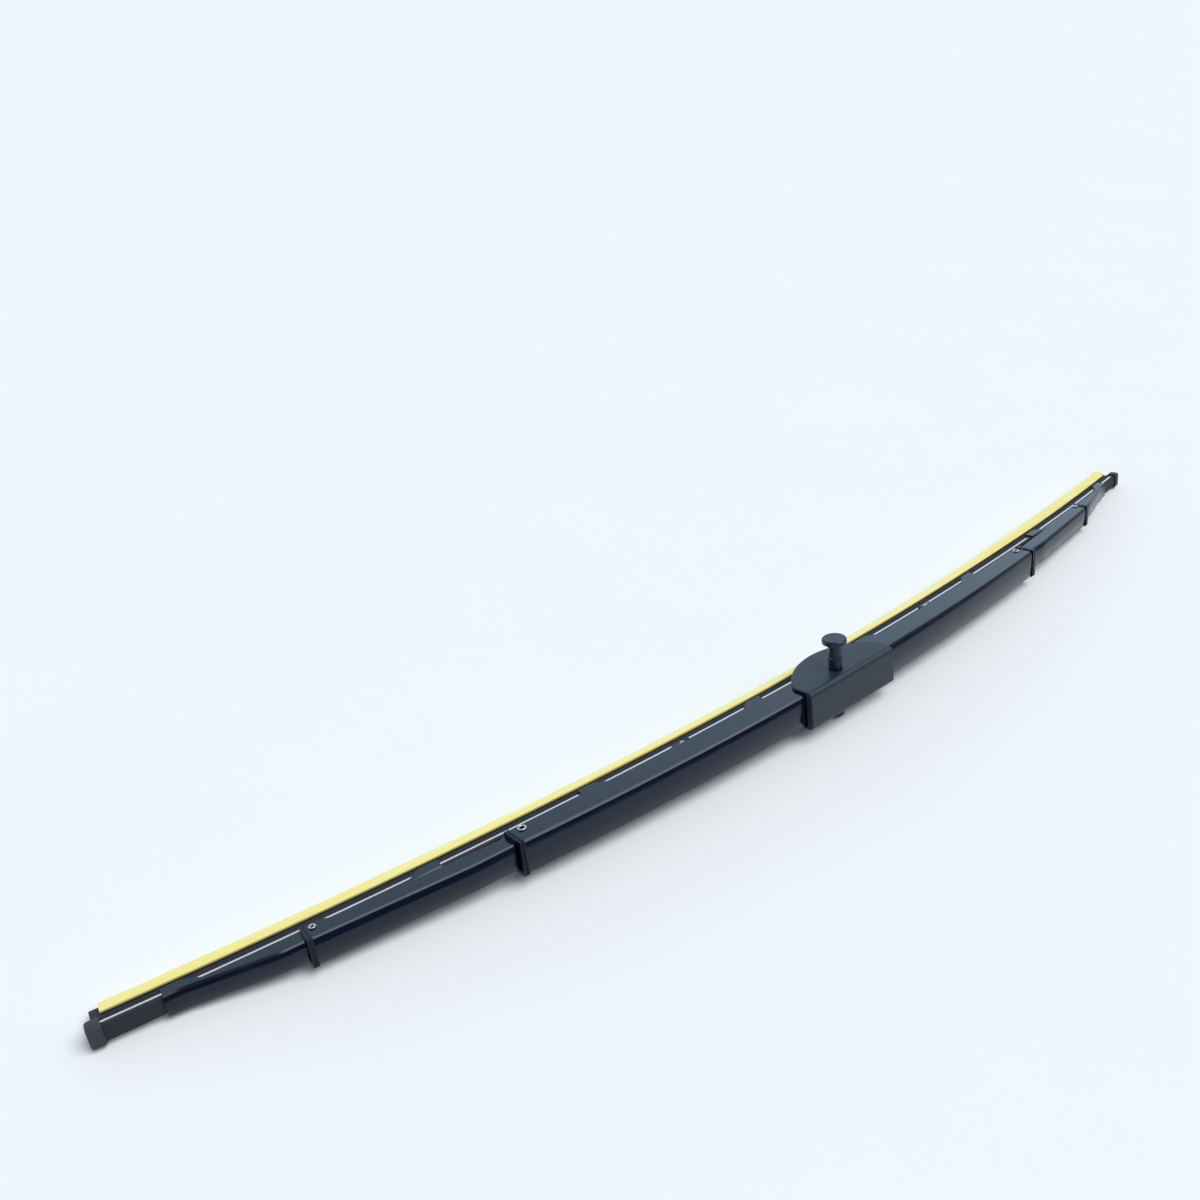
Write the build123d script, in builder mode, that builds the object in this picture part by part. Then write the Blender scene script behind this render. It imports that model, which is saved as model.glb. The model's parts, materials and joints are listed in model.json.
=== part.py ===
import os
from math import asin, atan2, cos, degrees, radians, sin

from build123d import *

# All sizes in mm. Each piece is drawn upright on the blade's own axes: X runs along the blade,
# Y points from the frame to the wiping lip, Z runs along the arm pin. The pin's axis is x = 0, y = 0.

# Bow of the rubber when it is not pressed on glass
blade_half_length = 300.0
rubber_bow = 22.0
spline_line = 13.9
bow_radius = (blade_half_length ** 2 + rubber_bow ** 2) / (2 * rubber_bow)
bow_center = spline_line + bow_radius

# Linkage: each lever sits over the middle of what it carries, at a share of the blade's half length
lever_share = 0.5167
yoke_share = 0.2553
claw_share = 0.1567
lever_station = lever_share * blade_half_length
yoke_reach = yoke_share * blade_half_length
claw_reach = claw_share * blade_half_length
lever_angle = degrees(lever_station / bow_radius)
yoke_angle = degrees(yoke_reach / bow_radius)
yoke_pivot_rise = 4.75
lever_pivot_rise = 8.0

# Clearances, and how far a cut runs past what it cuts
running_gap = 0.05
fixed_gap = 0.02
side_gap = 0.2
shade_gap = 0.15
cut_over = 2.0

# Rubber section, measured from the spline line towards the lip
back_depth = 2.2
head_half = 3.2
head_corner = 0.4
groove_top = -0.9
groove_bottom = 0.1
groove_half = 1.0
head_bottom = 1.2
neck_half = 0.8
neck_bottom = 2.6
wing_half = 2.3
wing_slope = 0.3
wing_bottom = 3.5
lip_shoulder_half = 1.4
lip_shoulder_drop = 0.6
lip_tip_half = 0.4
lip_tip = 9.6

# Steel splines in the rubber's side grooves
spline_inset = 1.0
spline_proud = 0.05
spline_edge = head_half + spline_proud

# Yellow shipping sleeve on the lip
sleeve_inset = 0.4
sleeve_top = 4.4
sleeve_bottom = 10.8
sleeve_mouth_half = 2.45
sleeve_tip_half = 1.6
sleeve_wall = 1.0
sleeve_corner = 0.6

# Yokes
yoke_sheet = 0.75
yoke_inner = head_half + side_gap
yoke_outer = yoke_inner + yoke_sheet
yoke_height = 8.0
yoke_edge = 2.7
yoke_bend = 0.55
yoke_curve = 30.0
crown_half = 12.0
claw_length = 6.0
claw_flank = 7.0
claw_hook_half = 1.5
claw_sheet = 0.55
claw_bend = 0.7

# Secondary levers
lever_sheet = 0.8
bush_sheet = 0.45
lever_inner = yoke_outer + running_gap + bush_sheet
lever_outer = lever_inner + lever_sheet
lever_overhang = 1.8
lever_back_middle = 4.5
lever_back_end = 10.0
lever_edge_middle = 6.3
lever_edge_open = 4.7
lever_edge_end = 2.8
lever_hub_edge = 5.0
lever_hub_half = 4.5
lobe_run = 4.0
lobe_slope = 4.0
lever_bend = 0.6
lever_crown = 22.0
lever_curve = 60.0

# Main bridge
bridge_sheet = 0.9
bridge_end_inner = lever_outer + running_gap + bush_sheet
bridge_end_outer = bridge_end_inner + bridge_sheet
bridge_middle_outer = 7.4
bridge_overhang = 4.0
bridge_back = 3.8
bridge_back_rise = 8.8
bridge_edge = 7.5
bridge_edge_rise = 7.0
bridge_bend = 0.7

# Plastic bushes
collar_length = 2.0
collar_proud = 0.45
collar_lift = 0.8
rib_width = 0.8
bush_run = 4.0
bush_lift = 0.3
bush_inset = 0.2

# Tubular rivets
main_rivet_radius = 1.6
main_rivet_bore = 0.95
yoke_rivet_radius = 1.25
yoke_rivet_bore = 0.7
rivet_proud = 0.4

# Arm adapter and pin
pin_radius = 2.8
pin_tail_radius = 3.0
pin_ring_radius = 3.2
pin_ring = 13.4
pin_ring_width = 0.5
pin_head_radius = 5.15
pin_head_height = 2.1
pin_top = 22.9
pin_foot = -13.2
pin_chamfer = 0.5
pin_shoulder = 0.3
pin_step = 0.4
adapter_left = -23.5
adapter_right = 30.0
adapter_outer = 8.7
adapter_inner = bridge_middle_outer + fixed_gap
adapter_back = 7.0
cheek_drop = 16.4
cheek_start = 2.6
adapter_round = 2.4

# End caps
cap_length = 4.6
cap_half = 4.2
cap_back = 3.1
cap_lip = 2.2
cap_corner = 1.0
cap_wall = 1.3
cap_gap = 0.15
cap_room = 0.7

# Lengths that follow from the blade's and the caps' lengths
rubber_half_length = blade_half_length - cap_wall - cap_room
spline_half_length = rubber_half_length - spline_inset
sleeve_half_length = blade_half_length - cap_length - sleeve_inset


def on_bow(angle):
    # Turn about the bow's centre, which slides a piece along the curved rubber.
    return Pos(0, bow_center, 0) * Rot(0, 0, angle) * Pos(0, -bow_center, 0)


def bow_point(angle, rise):
    # Point above the spline line at an angle along the bow.
    turn = radians(angle)
    reach = bow_radius + rise
    return (reach * sin(turn), bow_center - reach * cos(turn))


def sweep_angle(half_length):
    return degrees(asin(half_length / bow_radius))


def section_plane(angle):
    # Plane across the rubber, with its own x towards the lip and its own y along the pin.
    return Plane(on_bow(angle) * Plane.YZ.location)


bow_axis = Axis((0, bow_center, 0), (0, 0, 1))
yoke_pivot = bow_point(0, yoke_pivot_rise)
lever_pivot = bow_point(0, lever_pivot_rise)
yoke_seat = bow_point(yoke_angle, yoke_pivot_rise)
bridge_pivot = bow_point(lever_angle, lever_pivot_rise)
bridge_half_length = bridge_pivot[0] + bridge_overhang


def mirrored(points):
    return [(x, -z) for x, z in reversed(points)]


def block(near, far, half):
    # Corners of a cross-section between two depths, even about the middle.
    return [(near, -half), (near, half), (far, half), (far, -half)]


def long_edges(faces):
    return [edge for face in faces for edge in face.edges() if abs(edge.tangent_at(0.5).X) > 0.5]


def bend_edges(channel):
    # Long edges along the back of a channel, where its sides are bent down.
    return long_edges(channel.faces().filter_by(lambda face: face.normal_at().Y < -0.9))


def hook_edges(channel):
    # Long edges along the two outermost faces on the lip side, where the claws are folded in.
    undersides = channel.faces().filter_by(lambda face: face.normal_at().Y > 0.9)
    return long_edges(undersides.sort_by(lambda face: abs(face.center().X))[-2:])


# Rubber strip: head with side grooves, neck, wings and a tapered lip
rubber_angle = sweep_angle(rubber_half_length)
rubber_side = [
    (-back_depth, head_half - head_corner),
    (-back_depth + head_corner, head_half),
    (groove_top, head_half),
    (groove_top, groove_half),
    (groove_bottom, groove_half),
    (groove_bottom, head_half),
    (head_bottom, head_half),
    (head_bottom, neck_half),
    (neck_bottom, neck_half),
    (neck_bottom + wing_slope, wing_half),
    (wing_bottom, wing_half),
    (wing_bottom + lip_shoulder_drop, lip_shoulder_half),
    (lip_tip, lip_tip_half),
]
with BuildPart() as wiper_rubber:
    with BuildSketch(section_plane(-rubber_angle)):
        with Locations((spline_line, 0)):
            Polygon(*rubber_side, *mirrored(rubber_side), align=None)
    revolve(axis=bow_axis, revolution_arc=2 * rubber_angle)

# Flat steel spline, one in each groove
spline_angle = sweep_angle(spline_half_length)
with BuildPart() as upper_spline:
    with BuildSketch(section_plane(-spline_angle)):
        with BuildLine():
            Polyline(
                (spline_line + groove_top + fixed_gap, groove_half + fixed_gap),
                (spline_line + groove_bottom - fixed_gap, groove_half + fixed_gap),
                (spline_line + groove_bottom - fixed_gap, spline_edge),
                (spline_line + groove_top + fixed_gap, spline_edge),
                close=True,
            )
        make_face()
    revolve(axis=bow_axis, revolution_arc=2 * spline_angle)

# Shipping sleeve: a thin V-shaped trough over the lip
sleeve_angle = sweep_angle(sleeve_half_length)
sleeve_side = [
    (sleeve_top, sleeve_mouth_half - sleeve_wall),
    (sleeve_top, sleeve_mouth_half),
    (sleeve_bottom - sleeve_corner, sleeve_tip_half),
    (sleeve_bottom, sleeve_tip_half - sleeve_corner),
]
sleeve_hollow = [
    (sleeve_top, sleeve_mouth_half - sleeve_wall),
    (sleeve_bottom - sleeve_wall, sleeve_tip_half - sleeve_wall),
]
with BuildPart() as protective_sleeve:
    with BuildSketch(section_plane(-sleeve_angle)):
        with Locations((spline_line, 0)):
            Polygon(*sleeve_side, *mirrored(sleeve_side), align=None)
            Polygon(*sleeve_hollow, *mirrored(sleeve_hollow), align=None, mode=Mode.SUBTRACT)
    revolve(axis=bow_axis, revolution_arc=2 * sleeve_angle)

# Yoke: an arched channel with a pair of folded claws at each end
claw_angle = degrees(claw_reach / bow_radius)
claw_start = degrees((claw_reach - claw_length) / bow_radius)
flank_angle = degrees((claw_reach - claw_length - claw_flank) / bow_radius)
claw_back = back_depth + shade_gap
hook_top = -(head_bottom + side_gap)
hook_bottom = hook_top - claw_sheet
crown_angle = degrees(crown_half / bow_radius)


def yoke_arch(sheet):
    # Back of a yoke: flat over the claws, straight up to the crown, with an easy curve between.
    half = [(claw_angle, claw_back), (claw_start, claw_back), (crown_angle, yoke_height - yoke_sheet)]
    return [bow_point(-a, r + sheet) for a, r in half] + [bow_point(a, r + sheet) for a, r in reversed(half)]


with BuildPart() as yoke:
    outer_arch = yoke_arch(yoke_sheet)
    with BuildSketch(Plane.XY):
        with BuildLine():
            FilletPolyline(*outer_arch, radius=yoke_curve)
            Polyline(
                outer_arch[-1],
                bow_point(claw_angle, hook_bottom),
                bow_point(claw_start, hook_bottom),
                bow_point(flank_angle, yoke_edge),
                bow_point(-flank_angle, yoke_edge),
                bow_point(-claw_start, hook_bottom),
                bow_point(-claw_angle, hook_bottom),
                outer_arch[0],
            )
        make_face()
    extrude(amount=yoke_outer, both=True)
    chamfer(bend_edges(yoke), yoke_bend)
    chamfer(hook_edges(yoke), claw_bend)
    inner_arch = yoke_arch(0)
    with BuildSketch(Plane.XY):
        with BuildLine():
            Polyline(
                *inner_arch, bow_point(claw_angle, hook_top), bow_point(-claw_angle, hook_top), close=True
            )
        make_face()
    extrude(amount=yoke_inner, both=True, mode=Mode.SUBTRACT)
    with BuildSketch(Plane.XZ.offset(-spline_line - head_bottom)):
        Rectangle(2 * (claw_reach + cut_over), 2 * claw_hook_half)
    extrude(amount=-claw_sheet - cut_over, mode=Mode.SUBTRACT)
    with BuildSketch(Plane.XY):
        with Locations(yoke_pivot):
            Circle(yoke_rivet_radius + running_gap)
    extrude(amount=2 * yoke_outer, both=True, mode=Mode.SUBTRACT)

# Secondary lever: a channel with two straight arms and a yoke at each end
lever_tip = yoke_angle + degrees(lever_overhang / bow_radius)
lever_crown_back = lever_pivot[1] - lever_back_middle
lever_tip_back = bow_point(lever_tip, lever_back_end)
lever_slope = (lever_tip_back[1] - lever_crown_back) / (lever_tip_back[0] - lever_crown)
lever_run = lever_tip_back[0] + cut_over
lever_run_back = lever_tip_back[1] + cut_over * lever_slope


def lever_arch(reach, end_back, sheet):
    # Back of a lever: level over the pivot, then straight to each end.
    half = [(reach, end_back + sheet), (lever_crown, lever_crown_back + sheet)]
    return [(-x, y) for x, y in half] + half[::-1]


def lever_station_at(distance, rise):
    return bow_point(degrees(distance / bow_radius), rise)


# Lip-side edge of a lever: deep round each rivet, cut back between them
lever_edge = [
    bow_point(lever_tip, lever_edge_end),
    lever_station_at(yoke_reach - lobe_run, lever_edge_end),
    lever_station_at(yoke_reach - lobe_run - lobe_slope, lever_edge_open),
    lever_station_at(lever_hub_half + lobe_slope, lever_edge_middle),
    lever_station_at(lever_hub_half, lever_hub_edge),
]
with BuildPart() as secondary_lever:
    outer_arch = lever_arch(*lever_tip_back, 0)
    with BuildSketch(Plane.XY):
        with BuildLine():
            FilletPolyline(*outer_arch, radius=lever_curve)
            Polyline(
                outer_arch[-1],
                *lever_edge,
                *[(-x, y) for x, y in reversed(lever_edge)],
                outer_arch[0],
            )
        make_face()
    extrude(amount=lever_outer, both=True)
    chamfer(bend_edges(secondary_lever), lever_bend)
    inner_arch = lever_arch(lever_run, lever_run_back, lever_sheet)
    with BuildSketch(Plane.XY):
        with BuildLine():
            Polyline(*inner_arch, (lever_run, 2 * spline_line), (-lever_run, 2 * spline_line), close=True)
        make_face()
    extrude(amount=lever_inner, both=True, mode=Mode.SUBTRACT)
    with BuildSketch(Plane.XY):
        with Locations(lever_pivot):
            Circle(main_rivet_radius + running_gap)
        with Locations(yoke_seat, (-yoke_seat[0], yoke_seat[1])):
            Circle(yoke_rivet_radius + fixed_gap)
    extrude(amount=2 * lever_outer, both=True, mode=Mode.SUBTRACT)

# Main bridge: a bowed channel, widest under the arm adapter
bridge_end_back = bridge_back_rise - bridge_back
bridge_end_edge = bridge_edge + bridge_edge_rise
bridge_run = bridge_half_length + cut_over
bridge_run_back = bridge_back_rise * (bridge_run / bridge_half_length) ** 2 - bridge_back
bridge_flare = bridge_middle_outer - bridge_end_outer
bridge_run_inner = bridge_middle_outer - bridge_sheet - bridge_flare * bridge_run / bridge_half_length


def bridge_plan(reach, end_half, middle_half):
    # Width of the bridge from above: a straight taper from the middle to each end.
    side = [(reach, end_half), (0, middle_half), (-reach, end_half)]
    return side + [(x, -z) for x, z in reversed(side)]


with BuildPart() as primary_bridge:
    with BuildSketch(Plane.XY):
        with BuildLine():
            ThreePointArc(
                (-bridge_half_length, bridge_end_back),
                (0, -bridge_back),
                (bridge_half_length, bridge_end_back),
            )
            Line((bridge_half_length, bridge_end_back), (bridge_half_length, bridge_end_edge))
            ThreePointArc(
                (bridge_half_length, bridge_end_edge),
                (0, bridge_edge),
                (-bridge_half_length, bridge_end_edge),
            )
            Line((-bridge_half_length, bridge_end_edge), (-bridge_half_length, bridge_end_back))
        make_face()
    extrude(amount=2 * bridge_middle_outer, both=True)
    with BuildSketch(Plane.XZ):
        Polygon(*bridge_plan(bridge_half_length, bridge_end_outer, bridge_middle_outer), align=None)
    extrude(amount=4 * bridge_end_edge, both=True, mode=Mode.INTERSECT)
    chamfer(bend_edges(primary_bridge), bridge_bend)

with BuildPart() as bridge_hollow:
    with BuildSketch(Plane.XY):
        with BuildLine():
            ThreePointArc(
                (-bridge_run, bridge_run_back + bridge_sheet),
                (0, bridge_sheet - bridge_back),
                (bridge_run, bridge_run_back + bridge_sheet),
            )
            Polyline(
                (bridge_run, bridge_run_back + bridge_sheet),
                (bridge_run, 3 * bridge_end_edge),
                (-bridge_run, 3 * bridge_end_edge),
                (-bridge_run, bridge_run_back + bridge_sheet),
            )
        make_face()
    extrude(amount=2 * bridge_middle_outer, both=True)
    with BuildSketch(Plane.XZ):
        Polygon(*bridge_plan(bridge_run, bridge_run_inner, bridge_middle_outer - bridge_sheet), align=None)
    extrude(amount=4 * bridge_end_edge, both=True, mode=Mode.INTERSECT)

with primary_bridge:
    add(bridge_hollow.part, mode=Mode.SUBTRACT)
    with BuildSketch(Plane.XY):
        Circle(pin_radius + fixed_gap)
        with Locations(bridge_pivot, (-bridge_pivot[0], bridge_pivot[1])):
            Circle(main_rivet_radius + fixed_gap)
    extrude(amount=2 * bridge_middle_outer, both=True, mode=Mode.SUBTRACT)


def bridge_back_at(x):
    return bridge_back_rise * (x / bridge_half_length) ** 2 - bridge_back


def bridge_edge_at(x):
    return bridge_edge + bridge_edge_rise * (x / bridge_half_length) ** 2


# Main bush: two plates beside the secondary lever and a ribbed collar on the bridge's end
plate_start = bridge_pivot[0] - bush_run
collar_end = bridge_half_length + collar_length
collar_top = bridge_end_back + bridge_sheet
main_rib_top = bridge_end_back - collar_proud
main_slot = lever_outer + running_gap
with BuildPart() as right_main_bush:
    with BuildSketch(Plane.XY):
        with BuildLine():
            Polyline(
                (plate_start, bridge_back_at(plate_start) + bridge_sheet + bush_lift),
                (collar_end, collar_top + bush_lift),
                (collar_end, bridge_end_edge - bush_inset),
                (plate_start, bridge_edge_at(plate_start) - bush_inset),
                close=True,
            )
        make_face()
    extrude(amount=bridge_end_inner - fixed_gap, both=True)
    with BuildSketch(Plane.YZ.offset(bridge_half_length + fixed_gap)):
        Polygon(*block(bridge_end_back, bridge_end_edge, bridge_end_outer), align=None)
    extrude(amount=collar_length - fixed_gap)
    for rib_start in (fixed_gap, collar_length - rib_width):
        with BuildSketch(Plane.YZ.offset(bridge_half_length + rib_start)) as rib:
            Polygon(*block(main_rib_top, bridge_end_edge, bridge_end_outer + collar_proud), align=None)
            chamfer(rib.vertices().sort_by(Axis.Y)[:2], bridge_bend)
        extrude(amount=rib_width - fixed_gap)
    with BuildSketch(Plane.YZ.offset(plate_start - cut_over)):
        Polygon(*block(collar_top, bridge_end_edge + cut_over, main_slot), align=None)
    extrude(amount=collar_end - plate_start + 2 * cut_over, mode=Mode.SUBTRACT)
    with BuildSketch(Plane.YZ.offset(plate_start - cut_over)):
        Polygon(*block(-bridge_back, collar_top, main_slot), align=None)
    extrude(amount=bridge_half_length - plate_start + cut_over + fixed_gap, mode=Mode.SUBTRACT)
    with BuildSketch(Plane.XY):
        with Locations(bridge_pivot):
            Circle(main_rivet_radius + fixed_gap)
    extrude(amount=2 * bridge_end_outer, both=True, mode=Mode.SUBTRACT)

# Yoke bush: the same form on the end of a secondary lever
bush_start = yoke_angle - degrees(bush_run / bow_radius)
bush_end = lever_tip + degrees(collar_length / bow_radius)
bush_top = lever_back_end - lever_sheet - bush_lift
lever_end_back = spline_line - lever_back_end
lever_end_edge = spline_line - lever_edge_end
yoke_rib_top = lever_end_back - collar_proud
yoke_slot = yoke_outer + running_gap
slot_top = spline_line - yoke_height - collar_lift
with BuildPart() as yoke_bush:
    with BuildSketch(Plane.XY):
        with BuildLine():
            Polyline(
                bow_point(bush_start, bush_top),
                bow_point(bush_end, bush_top),
                bow_point(bush_end, lever_edge_end + bush_inset),
                bow_point(bush_start, lever_edge_end + bush_inset),
                close=True,
            )
        make_face()
    extrude(amount=lever_inner - fixed_gap, both=True)
    with BuildSketch(section_plane(lever_tip).offset(fixed_gap)):
        Polygon(*block(lever_end_back, lever_end_edge, lever_outer), align=None)
    extrude(amount=collar_length - fixed_gap)
    for rib_start in (fixed_gap, collar_length - rib_width):
        with BuildSketch(section_plane(lever_tip).offset(rib_start)) as rib:
            Polygon(*block(yoke_rib_top, lever_end_edge, lever_outer + collar_proud), align=None)
            chamfer(rib.vertices().sort_by(Axis.Y)[:2], lever_bend)
        extrude(amount=rib_width - fixed_gap)
    with BuildSketch(section_plane(bush_start).offset(-cut_over)):
        Polygon(*block(slot_top, spline_line + cut_over, yoke_slot), align=None)
    extrude(amount=bush_run + lever_overhang + collar_length + 2 * cut_over, mode=Mode.SUBTRACT)
    with BuildSketch(section_plane(lever_tip).offset(fixed_gap)):
        Polygon(*block(lever_end_back - cut_over, spline_line, yoke_slot), align=None)
    extrude(amount=-bush_run - lever_overhang - cut_over, mode=Mode.SUBTRACT)
    with BuildSketch(Plane.XY):
        with Locations(yoke_seat):
            Circle(yoke_rivet_radius + fixed_gap)
    extrude(amount=2 * lever_outer, both=True, mode=Mode.SUBTRACT)

# Tubular rivets: their open ends stand proud of the sheet on both sides
with BuildPart() as main_rivet:
    with BuildSketch(Plane.XY):
        Circle(main_rivet_radius)
        Circle(main_rivet_bore, mode=Mode.SUBTRACT)
    extrude(amount=bridge_end_outer + rivet_proud, both=True)

with BuildPart() as yoke_rivet:
    with BuildSketch(Plane.XY):
        Circle(yoke_rivet_radius)
        Circle(yoke_rivet_bore, mode=Mode.SUBTRACT)
    extrude(amount=lever_outer + rivet_proud, both=True)

# Arm adapter: a moulded saddle over the bridge with a rounded cheek on each side
adapter_middle = (adapter_left + adapter_right) / 2
with BuildPart() as arm_adapter:
    with BuildSketch(Plane.XY):
        with BuildLine():
            Line((adapter_left, -adapter_back), (adapter_right, -adapter_back))
            Line((adapter_right, -adapter_back), (adapter_right, cheek_start))
            ThreePointArc(
                (adapter_right, cheek_start), (adapter_middle, cheek_drop), (adapter_left, cheek_start)
            )
            Line((adapter_left, cheek_start), (adapter_left, -adapter_back))
        make_face()
    extrude(amount=adapter_outer, both=True)
    fillet(arm_adapter.faces().sort_by(Axis.Y)[0].edges().filter_by(Axis.X), adapter_round)
    with BuildSketch(Plane.YZ.offset(adapter_left - cut_over)):
        Polygon(*block(-bridge_back - fixed_gap, cheek_drop + cut_over, adapter_inner), align=None)
    extrude(amount=adapter_right - adapter_left + 2 * cut_over, mode=Mode.SUBTRACT)
    with BuildSketch(Plane.XY):
        Circle(pin_radius + fixed_gap)
    extrude(amount=2 * adapter_outer, both=True, mode=Mode.SUBTRACT)

# Arm pin: head, ringed shank and a thicker tail
with BuildPart() as arm_pin:
    with BuildSketch(Plane.XZ):
        with BuildLine():
            Polyline(
                (0, pin_foot),
                (pin_tail_radius - pin_chamfer, pin_foot),
                (pin_tail_radius, pin_foot + pin_chamfer),
                (pin_tail_radius, -adapter_outer - pin_shoulder),
                (pin_radius, -adapter_outer - pin_shoulder),
                (pin_radius, pin_ring - pin_step),
                (pin_ring_radius, pin_ring),
                (pin_ring_radius, pin_ring + pin_ring_width),
                (pin_radius, pin_ring + pin_ring_width + 2 * pin_step),
                (pin_radius, pin_top - pin_head_height),
                (pin_head_radius, pin_top - pin_head_height),
                (pin_head_radius, pin_top - pin_chamfer),
                (pin_head_radius - pin_chamfer, pin_top),
                (0, pin_top),
                close=True,
            )
        make_face()
    revolve(axis=Axis.Z)

# End cap: a moulded cup over the head of the rubber
cap_angle = sweep_angle(blade_half_length - cap_length)
cap_side = [
    (-cap_back, cap_half - cap_corner),
    (-cap_back + cap_corner, cap_half),
    (cap_lip - cap_corner, cap_half),
    (cap_lip, cap_half - cap_corner),
]
cap_hollow = [
    (-back_depth - cap_gap, head_half + cap_gap),
    (head_bottom + cap_gap, head_half + cap_gap),
    (head_bottom + cap_gap, neck_half + cap_gap),
    (cap_lip + cut_over, neck_half + cap_gap),
]
with BuildPart() as right_end_cap:
    with BuildSketch(section_plane(cap_angle)):
        with Locations((spline_line, 0)):
            Polygon(*cap_side, *mirrored(cap_side), align=None)
    extrude(amount=cap_length)
    outer_face = right_end_cap.faces().sort_by(Axis.X)[-1]
    fillet(outer_face.edges(), cap_corner)
    with BuildSketch(section_plane(cap_angle)):
        with Locations((spline_line, 0)):
            Polygon(*cap_hollow, *mirrored(cap_hollow), align=None)
    extrude(amount=cap_length - cap_wall, mode=Mode.SUBTRACT)

# Lying on a table the blade stands on the pin's foot and on both end caps
tip = on_bow(cap_angle + degrees(cap_length / 2 / bow_radius))
foot = (pin_tail_radius - pin_chamfer, pin_foot)
touch = [tip * Pos(0, spline_line + n, -z) for n, z in cap_side]
rest_roll = min(degrees(atan2(p.position.Z - foot[1], p.position.Y - foot[0])) for p in touch)

flip = Plane.YZ
pieces = {
    "primary_bridge": primary_bridge.part,
    "arm_adapter": arm_adapter.part,
    "arm_pin": arm_pin.part,
    "right_main_bush": right_main_bush.part,
    "left_main_bush": right_main_bush.part.mirror(flip),
    "right_main_rivet": Pos(*bridge_pivot, 0) * main_rivet.part,
    "left_main_rivet": Pos(-bridge_pivot[0], bridge_pivot[1], 0) * main_rivet.part,
    "wiper_rubber": wiper_rubber.part,
    "upper_spline": upper_spline.part,
    "lower_spline": upper_spline.part.mirror(Plane.XY),
    "protective_sleeve": protective_sleeve.part,
    "right_end_cap": right_end_cap.part,
    "left_end_cap": right_end_cap.part.mirror(flip),
}
for side, sign in (("right", 1), ("left", -1)):
    lever_place = on_bow(sign * lever_angle)
    pieces[side + "_secondary_lever"] = lever_place * secondary_lever.part
    for end, reach in (("outer", sign), ("inner", -sign)):
        bush = yoke_bush.part if reach > 0 else yoke_bush.part.mirror(flip)
        pieces[side + "_" + end + "_bush"] = lever_place * bush
        seat = Pos(reach * yoke_seat[0], yoke_seat[1], 0)
        pieces[side + "_" + end + "_rivet"] = lever_place * seat * yoke_rivet.part
        pieces[side + "_" + end + "_yoke"] = on_bow(sign * lever_angle + reach * yoke_angle) * yoke.part

rolled = Rot(-rest_roll, 0, 0)
box = Compound(children=[rolled * piece for piece in pieces.values()]).bounding_box()
lay = Pos(-box.center().X, -box.center().Y, -box.min.Z) * rolled

os.makedirs("parts", exist_ok=True)
for name, piece in pieces.items():
    laid = lay * piece
    laid.label = name
    export_step(laid, "parts/" + name + ".step")
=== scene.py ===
import json
import math

import bmesh
import bpy
from mathutils import Matrix, Vector

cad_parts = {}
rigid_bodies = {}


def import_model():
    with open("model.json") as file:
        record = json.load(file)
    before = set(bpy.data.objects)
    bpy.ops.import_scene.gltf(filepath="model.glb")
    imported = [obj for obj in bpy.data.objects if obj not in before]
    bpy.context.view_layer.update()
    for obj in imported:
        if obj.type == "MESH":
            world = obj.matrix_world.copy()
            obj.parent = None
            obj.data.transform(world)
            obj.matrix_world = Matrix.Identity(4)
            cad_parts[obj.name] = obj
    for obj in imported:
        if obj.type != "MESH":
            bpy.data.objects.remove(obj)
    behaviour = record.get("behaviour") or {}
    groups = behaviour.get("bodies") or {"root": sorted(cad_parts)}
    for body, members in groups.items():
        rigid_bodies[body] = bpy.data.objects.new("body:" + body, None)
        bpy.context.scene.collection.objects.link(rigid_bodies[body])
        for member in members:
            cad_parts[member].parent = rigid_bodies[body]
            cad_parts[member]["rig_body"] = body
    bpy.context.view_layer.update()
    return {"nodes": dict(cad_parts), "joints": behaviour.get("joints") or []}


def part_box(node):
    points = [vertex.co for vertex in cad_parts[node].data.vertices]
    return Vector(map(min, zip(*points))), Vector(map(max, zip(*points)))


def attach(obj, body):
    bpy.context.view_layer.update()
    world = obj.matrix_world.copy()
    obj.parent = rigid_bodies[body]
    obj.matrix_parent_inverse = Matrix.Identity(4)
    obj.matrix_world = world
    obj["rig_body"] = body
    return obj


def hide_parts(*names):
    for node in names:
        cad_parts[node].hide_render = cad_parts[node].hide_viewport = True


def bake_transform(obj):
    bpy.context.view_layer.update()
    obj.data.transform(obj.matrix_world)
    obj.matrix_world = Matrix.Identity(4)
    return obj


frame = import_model()
nodes = frame["nodes"]
joints = {joint["name"]: joint for joint in frame["joints"]}
mm = 0.001


# Blade's own axes in the row frame: along the blade, towards the lip, up the arm pin

blade = {
    "halfLength": 300.0,  # mm
    "bow": 22.0,  # mm that the free strip's ends hang below its middle
    "splineLine": 13.9,  # mm from the pin's axis to the splines
    "leverShare": 0.5167,  # lever pivots, as a share of the half length
    "leverRise": 8.0,  # mm from the splines up to a lever pivot
}
bowRadius = (blade["halfLength"] ** 2 + blade["bow"] ** 2) / (2 * blade["bow"])
bowCenter = blade["splineLine"] + bowRadius
leverStation = blade["leverShare"] * blade["halfLength"]
pivotDepth = bowCenter - (bowRadius + blade["leverRise"]) * math.cos(leverStation / bowRadius)

alongBlade = Vector((1, 0, 0))
pinUp = Vector(joints["left_lever_pivot"]["axis"]).normalized()
toLip = pinUp.cross(alongBlade)
leverPivots = [Vector(joints[side + "_lever_pivot"]["pos_m"]) for side in ("left", "right")]
bladeOrigin = sum(leverPivots, Vector()) / 2 - toLip * pivotDepth * mm
bladeToRow = (
    Matrix.Translation(bladeOrigin)
    @ Matrix((alongBlade, toLip, pinUp)).transposed().to_4x4()
    @ Matrix.Scale(mm, 4)
)


# Nodes and colours

noiseLow, noiseHigh = 0.3, 0.7  # nearly all of a noise texture lies between these


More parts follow.
